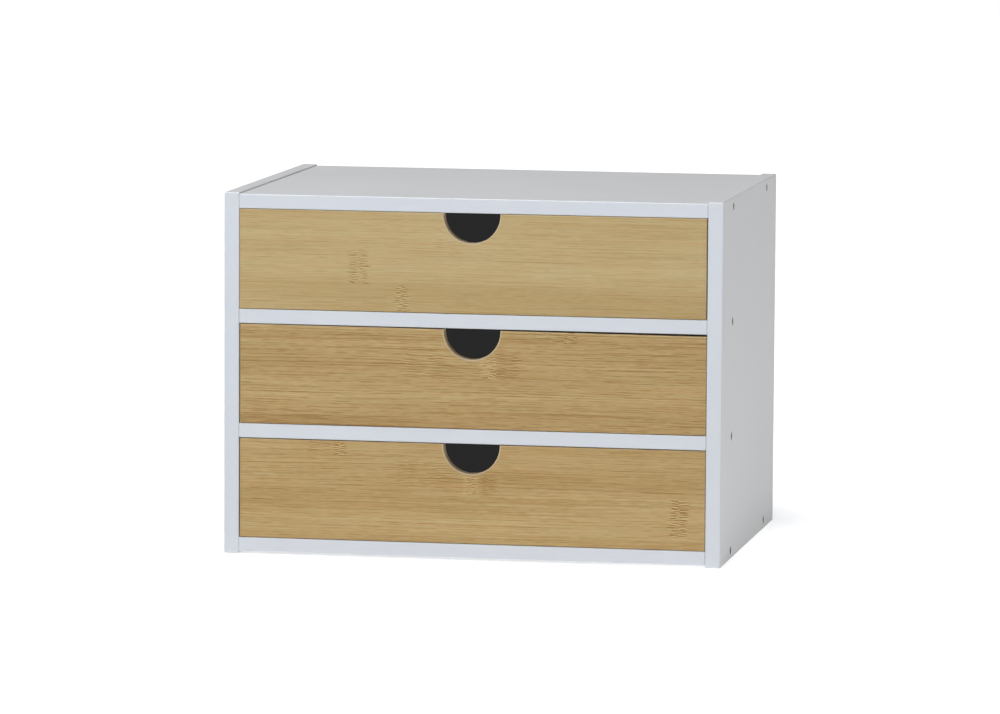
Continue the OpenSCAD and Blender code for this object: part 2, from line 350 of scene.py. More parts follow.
def dark_board(settings):
    """Matte black-faced fibreboard with a fine even grain, a few pale rubs and a faint painted
    glow.
    """
    grain_size, cloud_size, rub_sizes = 0.5, 30, (25, 4, 4)
    material, maker = new_material("black_faced_board")
    place = millimetres(maker)
    grain = speckle(maker, place, grain_size, 2.0, roughness=0.6)
    clouds = speckle(maker, place, cloud_size, 3.0)
    rubs = maker.smooth(speckle(maker, place, rub_sizes, 4.0), 0.62, 0.75)
    colour = maker.ramp(0.6 * clouds + 0.4 * grain, (
        (0.3, shaded(settings.colour, 0.85)),
        (0.7, shaded(settings.colour, 1.15)),
    ))
    colour = maker.mix(0.12 * rubs, colour, shaded(settings.colour, 3.0))
    close_material(maker, {
        "Base Color": colour,
        "Roughness": settings.roughness + 0.15 * (grain - 0.5),
        "Normal": maker.bump(grain, settings.grain),
        "IOR": FACING_IOR,
        # Painted light: the boards glow faintly, standing in for the light that reaches the inside
        # of a closed drawer.
        "Emission Color": opaque([settings.lift] * 3),
        "Emission Strength": 1.0,
    })
    return material


# Streaks of the bamboo: length and height in millimetres, and how far they shift the tone.
STREAKS = (
    (300.0, 18.0, 0.55),
    (330.0, 4.6, 0.20),
    (280.0, 1.8, 0.16),
    (220.0, 0.80, 0.22),
    (30.0, 0.70, 0.18),
    (7.0, 0.60, 0.38),
)

# Fibre bundles, in rows: pitch of the rows and common length of a run in millimetres, and how
# far a bundle shifts the tone.
BUNDLES = (
    (1.9, 16.0, -0.30),
    (2.9, 75.0, -0.24),
    (2.3, 30.0, 0.10),
)

# How far the patterns of two strips may be drawn apart, in millimetres
STRIP_SHIFT = 900

# Half the height over which one strip's tone turns into the next, and half the height of the
# line between them, in millimetres
STRIP_BLEND, JOINT_LINE = 0.3, 0.5

# How far the line where two knuckles meet wanders, and the height of its steps, in millimetres
SEAM_WANDER, SEAM_STEP = 7.0, 1.6

# Distances from a notch's middle over which its sawn tone ends, in millimetres
NOTCH_TONE = (22.0, 23.0)

# The fibres' bends round a knuckle and their slow drift along a strip: sizes along x, y and z,
# and how far they move a fibre, in millimetres
SWIRL_SIZES, SWIRL_REACH = (16, 16, 9), 5.0
DRIFT_SIZES, DRIFT_REACH = (220, 60, 40), 4.0

# The two hues between which the bamboo drifts, as shares of its colour
COOLER = (0.94, 1.04, 1.10, 1.0)
WARMER = (1.06, 0.96, 0.90, 1.0)


def nearest_knuckle(x, knuckles):
    """Each trait of the knuckle that is nearest along the front."""
    row = sorted(knuckles, key=lambda knuckle: knuckle.across)
    traits = dict(vars(row[0]))
    for left, right in zip(row, row[1:]):
        past = x > (left.across + left.width / 2 + right.across - right.width / 2) / 2
        for name, trait in traits.items():
            change = vars(right)[name] - vars(left)[name]
            if change:
                traits[name] = past * change + trait
    return traits


def knuckle_marks(maker, settings, x, z, front):
    """Short level dashes, each with a pale side, in two ragged columns where a knuckle crosses
    its strip. Gives the tone that they add, and how near the place is to a knuckle."""
    ragged = maker.noise(maker.vector(front.seed + 2.5, 0.0, z / SEAM_STEP), detail=1.0)
    knuckle = nearest_knuckle(x + (ragged - 0.5) * SEAM_WANDER, front.knuckles)
    inside = maker.window(z, knuckle["low"] - 0.6, knuckle["high"] + 0.6, 1.2)
    off = (x - knuckle["across"]) / knuckle["width"]
    force = inside * knuckle["strength"]
    near = force * (1 - maker.smooth(abs(off), 0.4, 1.6))
    lean = off + (ragged - 0.5) * 0.7
    side = lean > 0.0
    wave = maker.noise(maker.vector(x / 10, front.seed + 0.5, z / 3.0), detail=1.0)
    rows = z / settings.curl_pitch + 1.6 * wave + 0.5 * side
    row = math.floor(rows)
    draw = row * 2 + side + knuckle["across"]
    luck, chance = (maker.chance(draw + (front.seed + 0.25 * k)) for k in (0, 1))
    reach = abs(abs(lean) - 0.10 - 0.30 * luck) / (0.19 + 0.24 * chance)
    dash = 1 - maker.smooth(reach, 0.25, 1.0)
    lines = maker.math("SINE", (rows - row) * math.tau) - 0.25
    column = 1 - maker.smooth(abs(off), 0.35, 0.75)
    tone = lines * dash * (0.45 + 0.75 * luck) * force + inside * column * knuckle["shade"]
    return tone, near


def cut_faces(maker, x, z, upper_edge):
    """1 round a front's notch, less on its sawn ends and 0 on its faces and long edges, and how
    far each face looks up."""
    normal = maker.node("ShaderNodeNewGeometry", result="Normal")
    across, through, up = maker.node(
        "ShaderNodeSeparateXYZ", inputs={0: normal}, result=("X", "Y", "Z")
    )
    ends = 0.4 * maker.smooth(abs(across), 0.45, 0.95)
    below = upper_edge - z
    notch = 1 - maker.smooth(maker.math("SQRT", x * x + below * below), *NOTCH_TONE)
    edge = 1 - maker.smooth(abs(through), 0.74, 0.9)
    return edge * maker.math("MAXIMUM", ends, notch), maker.smooth(up, 0.1, 0.9)


def bamboo(settings, front):
    """Clear-lacquered bamboo: level strips of long fibres, each with its own tone and run."""
    material, maker = new_material(f"bamboo_{front.name}_front")
    x, y, z = millimetres(maker)
    strip = 0.0
    strip_tone = front.tones[0]
    joints = 0.0
    for joint, below, above in zip(front.joints, front.tones, front.tones[1:]):
        over = maker.smooth(z, joint - STRIP_BLEND, joint + STRIP_BLEND)
        strip = (z > joint) + strip
        strip_tone = over * (above - below) + strip_tone
        joints = maker.window(z, joint - JOINT_LINE, joint + JOINT_LINE, 0.4) + joints
    along = x + STRIP_SHIFT * maker.chance(strip + front.seed)

    marks, near = knuckle_marks(maker, settings, x, z, front)
    swirl = speckle(maker, (x, y, z), SWIRL_SIZES, 1.0)
    drift = speckle(maker, (along, y, z), DRIFT_SIZES, 0.0)
    across = z + (swirl - 0.5) * (near * SWIRL_REACH) + (drift - 0.5) * DRIFT_REACH

    tone = 0.5 + strip_tone + marks
    relief = 0.0
    for k, (length, height, shift) in enumerate(STREAKS):
        streak = maker.noise(
            maker.vector(along / length + 7.3 * k, y / (3 * height), across / height), detail=0.0
        )
        tone = tone + (streak - 0.5) * (shift * front.contrast)
    for k, (pitch, length, shift) in enumerate(BUNDLES):
        rows = across / pitch
        row = math.floor(rows)
        jitter = 0.5 * (maker.chance(row + (front.seed + 100 * k)) - 0.5)
        line = 1 - maker.smooth(abs(rows - row - 0.5 + jitter), 0.08, 0.46 / pitch)
        runs = maker.noise(maker.vector(along / length, y / 5, row * 7.7 + k), detail=1.0)
        bundle = shift * line * maker.smooth(runs, 0.44, 0.60)
        tone = tone + front.contrast * bundle
        relief = bundle + relief
    gap = maker.smooth(maker.noise(maker.vector(along / 45, 0.0, 0.5)), 0.42, 0.60)
    tone = tone - 0.14 * gap * joints
    colour = maker.ramp(tone + 0.06, (
        (0.0, settings.dark_tone),
        (0.5, settings.middle_tone),
        (1.0, settings.pale_tone),
    ))
    hue = maker.noise(maker.vector(along / 45 + 3, y / 9, across / 2.6), detail=2.0)
    colour = maker.mix(1.0, colour, maker.mix(hue, COOLER, WARMER), "MULTIPLY")
    colour = maker.mix(1.0, colour, opaque(front.tint), "MULTIPLY")
    # Painted shade: the notch is darkened where it looks up, holding back the overhead lamp's
    # light on it.
    cut, up = cut_faces(maker, x, z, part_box(f"{front.name}_drawer_front")[1][2] / MM)
    sawn, notch_painted_shade = opaque(settings.cut_tone), shaded(settings.cut_tone, 0.5)
    colour = maker.mix(0.8 * cut, colour, maker.mix(up, sawn, notch_painted_shade))
    close_material(maker, {
        "Base Color": colour,
        "Roughness": settings.roughness + 0.10 * (0.5 - tone) + 0.15 * cut,
        "Normal": maker.bump(relief, settings.fibre_relief),
        "IOR": FACING_IOR,
        "Coat Weight": settings.lacquer,
        "Coat Roughness": 0.32,
    })
    return material


def zinc(settings, name, colour):
    """Zinc plating with faint bluish and straw clouds."""
    cloud_size, grain_size, grain_height = 1.5, 0.25, 0.004
    material, maker = new_material(name)
    place = millimetres(maker)
    clouds = speckle(maker, place, cloud_size, 3.0)
    drawn = speckle(maker, place, grain_size, 2.0)
    cool, warm = (
        opaque([part * share for part, share in zip(colour, shares)])
        for shares in ((0.91, 0.95, 1.02), (1.09, 1.05, 0.98))
    )
    tint = maker.mix(maker.smooth(clouds, 0.35, 0.65), cool, warm)
    close_material(maker, {
        "Base Color": tint,
        "Metallic": 1.0,
        "Roughness": settings.roughness + 0.25 * (drawn - 0.5),
        "Normal": maker.bump(drawn, grain_height * MM),
    })
    return material


def turned_beech(settings, axis):
    """Plain beech with its pores along the peg."""
    pore_length, pore_width, pore_depth = 9.0, 0.5, 0.02
    material, maker = new_material(f"turned_beech_along_{axis}")
    sizes = tuple(pore_length if name == axis else pore_width for name in "xyz")
    pores = speckle(maker, millimetres(maker), sizes, 2.0)
    flecks = maker.smooth(pores, 0.58, 0.70)
    colour = maker.ramp(pores, (
        (0.3, shaded(settings.colour, 0.9)),
        (0.7, shaded(settings.colour, 1.08)),
    ))
    colour = maker.mix(0.5 * flecks, colour, shaded(settings.colour, 0.55))
    close_material(maker, {
        "Base Color": colour,
        "Roughness": 0.62 + 0.2 * (pores - 0.5),
        "Normal": maker.bump(pores, pore_depth * MM),
    })
    return material


# How far from its middle the floor's patch of light beside the case is even, and where it
# ends, in metres
PATCH_EVEN, PATCH_END = 0.04, 0.26


def pale_floor(settings):
    """A seamless pale studio floor, lit from below so that it stays as pale far away as it is
    under the lamps."""
    material, maker = new_material("pale_studio_floor")
    place = maker.node("ShaderNodeTexCoord", result="Object")
    clouds = maker.noise(place, detail=2.0)
    colour = maker.ramp(clouds, (
        (0.3, shaded(settings.floor_colour, 0.995)),
        (0.7, shaded(settings.floor_colour, 1.0)),
    ))
    x, y = maker.node("ShaderNodeSeparateXYZ", inputs={0: place}, result=("X", "Y"))
    away = maker.math("SQRT", x * x + y * y) / settings.glow_reach
    middle_glow = (settings.near_glow + settings.far_glow) / 2
    near, middle, far, side = (
        opaque([glow] * 3)
        for glow in (settings.near_glow, middle_glow, settings.far_glow, settings.side_glow)
    )
    glow = maker.ramp(away, ((0.15, near), (0.4, middle), (0.9, far)))
    # The overhead lamp's shadow falls to the right of the case, and is lit from below as well.
    x = x - settings.shadow_side
    beside = 1 - maker.smooth(maker.math("SQRT", x * x + y * y), PATCH_EVEN, PATCH_END)
    close_material(maker, {
        "Base Color": colour,
        "Roughness": 0.85,
        "Specular IOR Level": 0.1,
        "Emission Color": maker.mix(beside, glow, side),
        "Emission Strength": 1.0,
    })
    return material


# ---------------------------------------------------------------- fasteners

# Rows of faces along a screw and a brad, and faces round each of them and round a brad's head
SCREW_ROWS, SCREW_SIDES = 110, 24
BRAD_ROWS, BRAD_SIDES, BRAD_HEAD_SIDES = 60, 16, 24

# Faces on each flute of a peg
FLUTE_SIDES = 6

# How sharply a thread's ridge and a flute's groove are cut
RIDGE_POWER, FLUTE_POWER = 3.0, 8.0

# Size left at the tip of a screw and of a brad, as a share of the shank's
SCREW_TIP, BRAD_TIP = 0.06, 0.15

# How much a cross recess narrows towards its bottom, and a brad's head towards its outer face
RECESS_DRAFT, HEAD_BEVEL = 0.35, 0.08

# Edges that turn by more than this stay sharp
SHARP_EDGE = math.radians(38)


def solid_boxes(node_name):
    """Lowest and highest corner of each separate solid of a CAD node."""
    shell = bmesh.new()
    shell.from_mesh(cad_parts[node_name].data)
    bmesh.ops.remove_doubles(shell, verts=shell.verts, dist=1e-6)
    left = set(shell.verts)
    boxes = []
    while left:
        search = [left.pop()]
        island = list(search)
        while search:
            vertex = search.pop()
            for edge in vertex.link_edges:
                other = edge.other_vert(vertex)
                if other in left:
                    left.remove(other)
                    island.append(other)
                    search.append(other)
        corners = [[f(v.co[i] for v in island) for i in range(3)] for f in (min, max)]
        boxes.append((Vector(corners[0]), Vector(corners[1])))
    shell.free()
    return sorted(boxes, key=lambda box: tuple(round(c, 5) for c in box[0]))


def starting_points(name, node_name, axis):
    """A mesh with a point at the outer end of each fastener, and the turn that lays the
    fastener's own Z axis inwards."""
    places, turns = [], []
    for low, high in solid_boxes(node_name):
        middle = (low + high) / 2
        inwards = Vector((0, 0, 0))
        inwards[axis] = -1.0 if middle[axis] > 0 else 1.0
        start = middle.copy()
        start[axis] = high[axis] if middle[axis] > 0 else low[axis]
        places.append(start)
        turns.append(inwards.to_track_quat("Z", "Y").to_euler())
    mesh = bpy.data.meshes.new(name)
    mesh.from_pydata(places, [], [])
    turn = mesh.attributes.new("turn", "FLOAT_VECTOR", "POINT")
    turn.data.foreach_set("vector", [angle for euler in turns for angle in euler])
    piece = bpy.data.objects.new(name, mesh)
    bpy.context.scene.collection.objects.link(piece)
    return piece


class Tree:
    """A Geometry Nodes tree with named inputs. It puts its one shape on every starting point."""

    def __init__(self, name, sizes, counts=()):
        self.group = bpy.data.node_groups.new(name, "GeometryNodeTree")
        face = self.group.interface
        face.new_socket("Geometry", in_out="INPUT", socket_type="NodeSocketGeometry")
        for label in sizes:
            size = face.new_socket(label, in_out="INPUT", socket_type="NodeSocketFloat")
            size.subtype = "DISTANCE"
        for label in (*counts, "Seed"):
            face.new_socket(label, in_out="INPUT", socket_type="NodeSocketInt")
        face.new_socket("Finish", in_out="INPUT", socket_type="NodeSocketMaterial")
        face.new_socket("Geometry", in_out="OUTPUT", socket_type="NodeSocketGeometry")
        self.maker = Maker(self.group)
        self.source = self.group.nodes.new("NodeGroupInput")

    def given(self, label):
        """The tree's input with this name."""
        return Value(self.maker, self.source.outputs[label])

    def rod(self, sides, rows):
        """A closed rod of radius 1 along Z, with its share of the length and its angle round Z."""
        maker = self.maker
        rod = maker.node(
            "GeometryNodeMeshCylinder", inputs={
                "Vertices": sides, "Side Segments": rows, "Radius": 1.0, "Depth": 1.0,
            }, result="Mesh",
        )
        place = maker.node("GeometryNodeInputPosition")
        x, y, z = maker.node("ShaderNodeSeparateXYZ", inputs={0: place}, result=("X", "Y", "Z"))
        angle = maker.math("ARCTAN2", y, x) / math.tau
        centre = maker.math("MAXIMUM", abs(x), abs(y)) > 1e-4
        return rod, x * centre, y * centre, z + 0.5, angle

    def shaped(self, rod, x, y, radius, height):
        """A rod whose points have this radius and height."""
        return self.maker.node("GeometryNodeSetPosition", inputs={
            "Geometry": rod, "Position": self.maker.vector(x * radius, y * radius, height),
        })

    def close(self, shape):
        """Put the shape on the points, each with its own twist, and give it its finish."""
        maker = self.maker
        turn = maker.node(
            "GeometryNodeInputNamedAttribute", {"data_type": "FLOAT_VECTOR"},
            {"Name": "turn"}, "Attribute",
        )
        instances = maker.node("GeometryNodeInstanceOnPoints", inputs={
            "Points": self.given("Geometry"), "Instance": shape,
            "Rotation": maker.node("FunctionNodeEulerToRotation", inputs={0: turn}),
        })
        twist = maker.node(
            "FunctionNodeRandomValue", {"data_type": "FLOAT"},
            {"Min_001": 0.0, "Max_001": math.tau, "Seed": self.given("Seed")}, "Value_001",
        )
        twisted = maker.node("GeometryNodeRotateInstances", inputs={
            "Instances": instances, "Local Space": True,
            "Rotation": maker.node(
                "FunctionNodeEulerToRotation", inputs={0: maker.vector(0.0, 0.0, twist)}
            ),
        })
        real = maker.node("GeometryNodeRealizeInstances", inputs={"Geometry": twisted})
        finished = maker.node("GeometryNodeSetMaterial", inputs={
            "Geometry": real, "Material": self.given("Finish"),
        })
        maker.node("NodeGroupOutput", inputs={"Geometry": finished})
        return self.group


def screw_tree():
    """Countersunk wood screw: head outwards at z = 0, thread and point along +Z."""
    tree = Tree("countersunk_screw", (
        "Length", "Head Diameter", "Shank Diameter", "Thread Pitch", "Thread Depth",
        "Recess Length", "Recess Width", "Recess Depth",
    ), ("Rows",))
    maker = tree.maker
    length, pitch = tree.given("Length"), tree.given("Thread Pitch")
    head, shank = tree.given("Head Diameter") * 0.5, tree.given("Shank Diameter") * 0.5
    rod, x, y, share, angle = tree.rod(SCREW_SIDES, tree.given("Rows"))
    depth = share * length
    cone = maker.math("MAXIMUM", head - depth, shank)
    turns = depth / pitch - angle
    ridge = abs(maker.math("FRACT", turns) - 0.5) * 2
    below_head = maker.smooth(depth, head * 0.9, head * 1.6)
    trough = 1 - maker.math("POWER", ridge, RIDGE_POWER)
    core = cone - tree.given("Thread Depth") * below_head * trough
    point = maker.math("MINIMUM", (length - depth) / (shank * 2) + SCREW_TIP, 1.0)
    blank = tree.shaped(rod, x, y, core * point, depth)

    cut = blank
    long_side, short_side = tree.given("Recess Length"), tree.given("Recess Width")
    for size in ((long_side, short_side), (short_side, long_side)):
        arm = maker.node("GeometryNodeMeshCube", inputs={
            "Size": maker.vector(*size, tree.given("Recess Depth") * 2),
        }, result="Mesh")
        place = maker.node("GeometryNodeInputPosition")
        px, py, pz = maker.node(
            "ShaderNodeSeparateXYZ", inputs={0: place}, result=("X", "Y", "Z")
        )
        draft = 1 - RECESS_DRAFT * (pz > 0.0)
        arm = maker.node("GeometryNodeSetPosition", inputs={
            "Geometry": arm, "Position": maker.vector(px * draft, py * draft, pz),
        })
        cut = maker.node(
            "GeometryNodeMeshBoolean", {"operation": "DIFFERENCE", "solver": "EXACT"},
            {"Mesh 1": cut, "Mesh 2": arm}, "Mesh",
        )
    return tree.close(cut)


def peg_tree():
    """Fluted wooden peg with chamfered ends."""
    tree = Tree("fluted_peg", ("Length", "Diameter", "Chamfer", "Flute Depth"), ("Flutes",))
    maker = tree.maker
    flutes, chamfer, length = tree.given("Flutes"), tree.given("Chamfer"), tree.given("Length")
    rod, x, y, share, angle = tree.rod(flutes * FLUTE_SIDES, 3)
    first = maker.math("MINIMUM", share * 3, 1.0)
    last = maker.math("MAXIMUM", share * 3 - 2, 0.0)
    body = share * 3 - first - last
    height = (first + last) * chamfer + body * (length - 2 * chamfer)
    groove = maker.math("POWER", maker.math("COSINE", angle * flutes * math.pi), FLUTE_POWER)
    radius = (
        tree.given("Diameter") * 0.5 - tree.given("Flute Depth") * groove
        - chamfer * (1 - first + last)
    )
    return tree.close(tree.shaped(rod, x, y, radius, height))


def brad_tree():
    """Flat-headed brad with grip rings under its head."""
    tree = Tree("ringed_brad", (
        "Length", "Head Diameter", "Head Thickness", "Shank Diameter", "Ring Depth",
    ), ("Rows",))
    maker = tree.maker
    length, thickness = tree.given("Length"), tree.given("Head Thickness")
    rod, x, y, share, _ = tree.rod(BRAD_SIDES, tree.given("Rows"))
    depth = share * length
    rings = maker.window(depth, thickness * 2, length * 0.35, 0.2 * MM)
    ring = maker.math("FRACT", share * tree.given("Rows") * 0.5) * 2
    diameter = tree.given("Shank Diameter")
    point = maker.math("MINIMUM", (length - depth) / diameter * 0.7 + BRAD_TIP, 1.0)
    shank = diameter * 0.5 - tree.given("Ring Depth") * rings * ring
    shaft = tree.shaped(rod, x, y, shank * point, depth)
    disc, dx, dy, disc_share, _ = tree.rod(BRAD_HEAD_SIDES, 2)
    edge = 1 - HEAD_BEVEL * (1 - (disc_share > 0.25))
    head_radius = tree.given("Head Diameter") * 0.5 * edge
    head = tree.shaped(disc, dx, dy, head_radius, disc_share * thickness)
    whole = maker.node(
        "GeometryNodeMeshBoolean", {"operation": "UNION", "solver": "EXACT"},
        {"Mesh 2": head}, "Mesh",
    )
    union = whole.socket.node
    tree.group.links.new(shaft.socket, find_socket(union.inputs, "Mesh 2"))
    return tree.close(whole)


def grow(name, node_name, axis, group, values, body):
    """Run a tree on a CAD node's starting points, and let the plain mesh stand for the node."""
    points = starting_points(f"{name}_points", node_name, axis)
    modifier = points.modifiers.new("grow", "NODES")
    modifier.node_group = group
    for item in group.interface.items_tree:
        if item.in_out == "INPUT" and item.name in values:
            modifier[item.identifier] = values[item.name]
    evaluated = points.evaluated_get(bpy.context.evaluated_depsgraph_get())
    mesh = bpy.data.meshes.new_from_object(evaluated)
    if not mesh.polygons:
        raise RuntimeError(f"{name} came out empty")
    mesh.name = name
    mesh.shade_smooth()
    mesh.set_sharp_from_angle(angle=SHARP_EDGE)
    piece = bpy.data.objects.new(name, mesh)
    bpy.context.scene.collection.objects.link(piece)
    points.modifiers.clear()
    bpy.data.objects.remove(points)
    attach(piece, body)
    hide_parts(node_name)
    return piece


# ---------------------------------------------------------------- what a user may change

def length_property(name, description, default_mm):
    return bpy.props.FloatProperty(
        name=name, description=description, default=default_mm * MM,
        min=0.0, precision=5, unit="LENGTH", subtype="DISTANCE",
    )


def share_property(name, description, default):
    return bpy.props.FloatProperty(
        name=name, description=description, default=default, min=0.0, max=1.0, subtype="FACTOR",
    )


def colour_property(name, description, default):
    return bpy.props.FloatVectorProperty(
        name=name, description=description, default=default, size=3,
        min=0.0, max=1.0, subtype="COLOR",
    )


class MiniDrawersCase(bpy.types.PropertyGroup):
    """The painted case"""
    colour: colour_property("Paint", "Colour of the case's paint", (0.54, 0.54, 0.54))
    back_colour: colour_property("Back", "Colour of the back panel's face", (0.55, 0.565, 0.59))
    roughness: share_property("Sheen", "Roughness of the paint", 0.46)
    stipple: length_property("Stipple", "Height of the paint's roller stipple", 0.012)


class MiniDrawersBamboo(bpy.types.PropertyGroup):
    """The bamboo fronts"""
    pale_tone: colour_property("Pale", "Bamboo's palest fibres", (0.474, 0.342, 0.147))
    middle_tone: colour_property("Middle", "Bamboo's common tone", (0.355, 0.221, 0.0662))
    dark_tone: colour_property("Dark", "Bamboo's darkest fibres", (0.248, 0.126, 0.0150))
    cut_tone: colour_property("Cut", "Bamboo's sawn ends and notch", (0.58, 0.438, 0.27))
    roughness: share_property("Sheen", "Roughness of the bamboo", 0.44)
    lacquer: share_property("Lacquer", "Weight of the clear coat", 0.12)
    fibre_relief: length_property("Relief", "Height of the fibres' relief", 0.02)
    curl_pitch: bpy.props.FloatProperty(
        name="Curl pitch", description="Height of a row of curls in a knuckle, in millimetres",
        default=1.7, min=0.5, max=5.0,
    )


class MiniDrawersBoxes(bpy.types.PropertyGroup):
    """The dark boxes behind the fronts"""
    colour: colour_property("Board", "Colour of the boxes' boards", (0.045, 0.045, 0.050))
    roughness: share_property("Sheen", "Roughness of the boards", 0.6)
    lift: share_property("Lift", "Faint light of the boards in a closed drawer", 0.020)
    grain: length_property("Grain", "Height of the boards' grain", 0.015)


class MiniDrawersScrews(bpy.types.PropertyGroup):
    """The case's screws and the boxes' brads"""
    # The screws are near black: partly a dark plating, partly painted shade for the recesses round
    # their heads.
    screw_colour_and_shade: colour_property("Black zinc and shade", "Colour of the screws", (0.045, 0.045, 0.046))
    brad_colour: colour_property("Bright zinc", "Colour of the brads", (0.62, 0.62, 0.61))
    roughness: share_property("Sheen", "Roughness of the zinc", 0.32)
    screw_length: length_property("Screw length", "Length with the head", 30.0)
    head_diameter: length_property("Head", "Diameter of a screw's head", 6.0)
    shank_diameter: length_property("Thread", "Diameter over a screw's thread", 3.0)
    thread_pitch: length_property("Pitch", "Distance between a thread's turns", 1.35)
    thread_depth: length_property("Thread depth", "Depth of a screw's thread", 0.42)
    recess_length: length_property("Recess length", "Length of each arm of the cross slot", 3.3)
    recess_width: length_property("Recess width", "Width of each arm of the cross slot", 0.9)
    recess_depth: length_property("Recess depth", "Depth of the cross slot", 1.1)
    brad_length: length_property("Brad length", "Length of a brad with its head", 22.0)
    brad_head_diameter: length_property("Brad head", "Diameter of a brad's head", 2.2)
    brad_head_thickness: length_property("Brad head thickness", "Thickness of a brad's head", 0.6)
    brad_diameter: length_property("Brad", "Diameter of a brad", 1.2)
    ring_depth: length_property("Ring depth", "Depth of a brad's grip rings", 0.07)


class MiniDrawersPegs(bpy.types.PropertyGroup):
    """The wooden dowels and pins"""
    colour: colour_property("Wood", "Colour of the dowels and pins", (0.62, 0.44, 0.25))
    dowel_length: length_property("Dowel length", "Length of a shelf's dowel", 24.0)
    dowel_diameter: length_property("Dowel", "Diameter of a shelf's dowel", 6.0)
    pin_length: length_property("Pin length", "Length of a drawer's pin", 20.0)
    pin_diameter: length_property("Pin", "Diameter of a drawer's pin", 4.0)
    flutes: bpy.props.IntProperty(
        name="Flutes", description="Grooves round a dowel or pin", default=12, min=3, max=40,
    )
    flute_depth: length_property("Flute depth", "Depth of the grooves", 0.25)


class MiniDrawersStudio(bpy.types.PropertyGroup):
    """The floor, the light and the camera"""
    floor_colour: colour_property("Floor", "Colour of the floor", (0.90, 0.90, 0.90))
    near_glow: share_property(
        "Near glow", "Light that the floor gives of itself near the case", 0.45
    )
    far_glow: share_property("Far glow", "Light that the floor gives of itself far away", 0.93)
    side_glow: share_property(
        "Side glow", "Light that the floor gives of itself in the case's shadow", 0.68
    )
    shadow_side: length_property(
        "Shadow side", "Middle of the case's shadow, to the right of its middle", 260.0
    )
    glow_reach: length_property("Glow reach", "Distance at which the floor glows most", 3500.0)
    horizon: share_property("Horizon", "Strength of the even light level with the floor", 0.80)
    surround: share_property("Surround", "Strength of the even light from all round", 0.10)
    zenith: share_property("Zenith", "Strength of the even light from above", 0.05)
    overhead_power: bpy.props.FloatProperty(
        name="Overhead", description="Power of the soft light above", default=86.0, min=0.0,
    )
    front_power: bpy.props.FloatProperty(
        name="Front", description="Power of the soft light in front", default=28.5, min=0.0,
    )
    front_colour: colour_property(
        "Front colour", "Colour of the soft light in front", (0.385, 0.62, 1.0)
    )
    focal_length: bpy.props.FloatProperty(
        name="Focal length", description="Camera's focal length in millimetres", default=228.52,
    )
    camera_place: bpy.props.FloatVectorProperty(
        name="Camera", description="Where the camera stands", size=3,
        default=(0.81749, -4.40625, 0.62038), subtype="TRANSLATION", unit="LENGTH",
    )
    camera_turn: bpy.props.FloatVectorProperty(
        name="Turn", description="How the camera is turned", size=3,
        default=[math.radians(a) for a in (83.7335, -0.3472, 10.5940)], subtype="EULER",
    )


class MiniDrawersSettings(bpy.types.PropertyGroup):
    """Sizes and colours of the mini drawers"""
    case: bpy.props.PointerProperty(type=MiniDrawersCase)
    bamboo: bpy.props.PointerProperty(type=MiniDrawersBamboo)
    boxes: bpy.props.PointerProperty(type=MiniDrawersBoxes)
    screws: bpy.props.PointerProperty(type=MiniDrawersScrews)
    pegs: bpy.props.PointerProperty(type=MiniDrawersPegs)
    studio: bpy.props.PointerProperty(type=MiniDrawersStudio)


# ---------------------------------------------------------------- operators

class MINIDRAWERS_OT_case(bpy.types.Operator):
    """Paint the boards of the case and face its back panel"""
    bl_idname = "mini_drawers.case"
    bl_label = "Finish the Case"

    def execute(self, context):
        settings = context.scene.mini_drawers.case
        paint = painted_board(settings)
        for board in PAINTED_BOARDS:
            wear(board, paint)
        wear("back_panel", thin_board(settings))
        return {"FINISHED"}


class MINIDRAWERS_OT_fronts(bpy.types.Operator):
    """Lay the strips, fibres and knuckles of the three bamboo fronts"""
    bl_idname = "mini_drawers.fronts"
    bl_label = "Finish the Bamboo Fronts"

    def execute(self, context):
        for front in FRONTS:
            wear(f"{front.name}_drawer_front", bamboo(context.scene.mini_drawers.bamboo, front))
        return {"FINISHED"}


class MINIDRAWERS_OT_boxes(bpy.types.Operator):
    """Face the boards of the drawer boxes in black"""
    bl_idname = "mini_drawers.boxes"
    bl_label = "Finish the Drawer Boxes"

    def execute(self, context):
        facing = dark_board(context.scene.mini_drawers.boxes)
        for drawer in DRAWERS:
            for board in BOX_BOARDS:
                wear(f"{drawer}_drawer_{board}", facing)
        return {"FINISHED"}


class MINIDRAWERS_OT_screws(bpy.types.Operator):
    """Make the case's countersunk screws with their threads"""
    bl_idname = "mini_drawers.screws"
    bl_label = "Make the Screws"

    def execute(self, context):
        settings = context.scene.mini_drawers.screws
        values = {
            "Length": settings.screw_length, "Head Diameter": settings.head_diameter,
            "Shank Diameter": settings.shank_diameter, "Thread Pitch": settings.thread_pitch,
            "Thread Depth": settings.thread_depth, "Recess Length": settings.recess_length,
            "Recess Width": settings.recess_width, "Recess Depth": settings.recess_depth,
            "Rows": SCREW_ROWS,
            # Near-black screws: partly a dark plating, partly painted shade for the recesses round
            # their heads.
            "Finish": zinc(settings, "black_zinc_and_shade_steel", settings.screw_colour_and_shade),
        }
        group = screw_tree()
        for seed, side in enumerate(("left", "right")):
            grow(
                f"{side}_wood_screws", f"{side}_side_screws", 0, group,
                {**values, "Seed": seed}, "case",
            )
        return {"FINISHED"}


